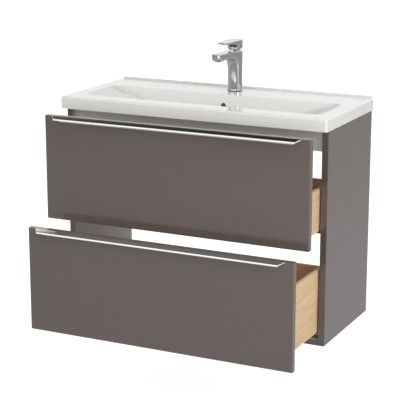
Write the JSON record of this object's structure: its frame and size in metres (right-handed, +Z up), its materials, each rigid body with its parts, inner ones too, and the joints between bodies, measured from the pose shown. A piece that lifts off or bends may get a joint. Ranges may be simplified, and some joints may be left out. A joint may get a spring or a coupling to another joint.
{
  "type": "bathroom vanity cabinet",
  "caption": "Wall-hung bathroom vanity with two full-width lip-handled drawers, a ceramic basin with a long ramped bowl and a single-lever mixer tap.",
  "frame": {"origin": "on the wall plane, in the middle of the four wall screws", "axes": "+X to the viewer's right, +Y towards the wall, +Z up; the drawers open towards -Y"},
  "size_m": [0.81, 0.5835, 0.784],
  "materials": {
    "lacquer": "gloss taupe lacquer on board",
    "drawer_wood": "satin oiled, fine straight grain",
    "glazed_white": "white gloss glaze",
    "chrome": "polished chrome",
    "runner_steel": "galvanised",
    "zinc_fittings": "zinc plated",
    "hanger_plastic": "moulded white",
    "clear_stop": "clear soft stop",
    "black_rubber": "matt",
    "brass": "turned"
  },
  "bodies": {
    "carcass": {"left_side_panel": "lacquer", "right_side_panel": "lacquer", "bottom_panel": "lacquer", "front_rail": "lacquer", "back_rail": "lacquer", "lower_back_rail": "lacquer", "cam_locks": "zinc_fittings", "cam_bolts": "zinc_fittings", "hanger_boxes": "hanger_plastic", "hanger_hooks": "zinc_fittings", "wall_plates": "zinc_fittings", "upper_left_runner_rail": "runner_steel", "upper_right_runner_rail": "runner_steel", "lower_left_runner_rail": "runner_steel", "lower_right_runner_rail": "runner_steel", "runner_screws": "zinc_fittings", "basin": "glazed_white", "waste_body": "chrome", "waste_seal": "black_rubber", "waste_nut": "brass", "tap_body": "chrome", "tap_seal": "black_rubber", "tap_cartridge": "hanger_plastic", "aerator": "chrome", "tap_stud": "zinc_fittings", "tap_washer": "zinc_fittings", "tap_nut": "brass"},
    "plug": {"waste_plug": "chrome"},
    "tap_spindle": {"tap_spindle": "zinc_fittings"},
    "tap_lever": {"tap_lever": "chrome"},
    "upper_drawer": {"upper_front": "lacquer", "upper_handle": "chrome", "upper_handle_screws": "zinc_fittings", "upper_front_fixings": "zinc_fittings", "upper_bumpers": "clear_stop", "upper_base": "drawer_wood", "upper_left_side": "drawer_wood", "upper_right_side": "drawer_wood", "upper_left_back": "drawer_wood", "upper_right_back": "drawer_wood", "upper_trap_left_wall": "drawer_wood", "upper_trap_right_wall": "drawer_wood", "upper_trap_front_wall": "drawer_wood", "upper_left_runner_slide": "runner_steel", "upper_right_runner_slide": "runner_steel"},
    "lower_drawer": {"lower_front": "lacquer", "lower_handle": "chrome", "lower_handle_screws": "zinc_fittings", "lower_front_fixings": "zinc_fittings", "lower_bumpers": "clear_stop", "lower_base": "drawer_wood", "lower_left_side": "drawer_wood", "lower_right_side": "drawer_wood", "lower_back": "drawer_wood", "lower_left_runner_slide": "runner_steel", "lower_right_runner_slide": "runner_steel"},
    "upper_runner_middles": {"upper_left_runner_middle": "runner_steel", "upper_right_runner_middle": "runner_steel"},
    "lower_runner_middles": {"lower_left_runner_middle": "runner_steel", "lower_right_runner_middle": "runner_steel"}
  },
  "joints": [
    {"name": "upper_drawer_slide", "type": "slide", "parent": "carcass", "child": "upper_drawer", "axis": [0, -1, 0], "range_m": [-0.103, 0.147]},
    {"name": "lower_drawer_slide", "type": "slide", "parent": "carcass", "child": "lower_drawer", "axis": [0, -1, 0], "range_m": [-0.204, 0.046]},
    {"name": "upper_runner_slide", "type": "slide", "parent": "carcass", "child": "upper_runner_middles", "axis": [0, -1, 0], "range_m": [-0.0515, 0.0735]},
    {"name": "lower_runner_slide", "type": "slide", "parent": "carcass", "child": "lower_runner_middles", "axis": [0, -1, 0], "range_m": [-0.102, 0.023]},
    {"name": "tap_swivel", "type": "hinge", "parent": "carcass", "child": "tap_spindle", "pos_m": [0, -0.061, 0.207], "axis": [0, 0, 1], "range_deg": [-45, 45]},
    {"name": "tap_lift", "type": "hinge", "parent": "tap_spindle", "child": "tap_lever", "pos_m": [0, -0.061, 0.207], "axis": [-1, 0, 0], "range_deg": [0, 20]},
    {"name": "plug_lift", "type": "slide", "parent": "carcass", "child": "plug", "axis": [0, 0, 1], "range_m": [0, 0.008]}
  ],
  "couplings": [
    {"joint": "upper_runner_slide", "follows": "upper_drawer_slide", "ratio": 0.5},
    {"joint": "lower_runner_slide", "follows": "lower_drawer_slide", "ratio": 0.5}
  ]
}
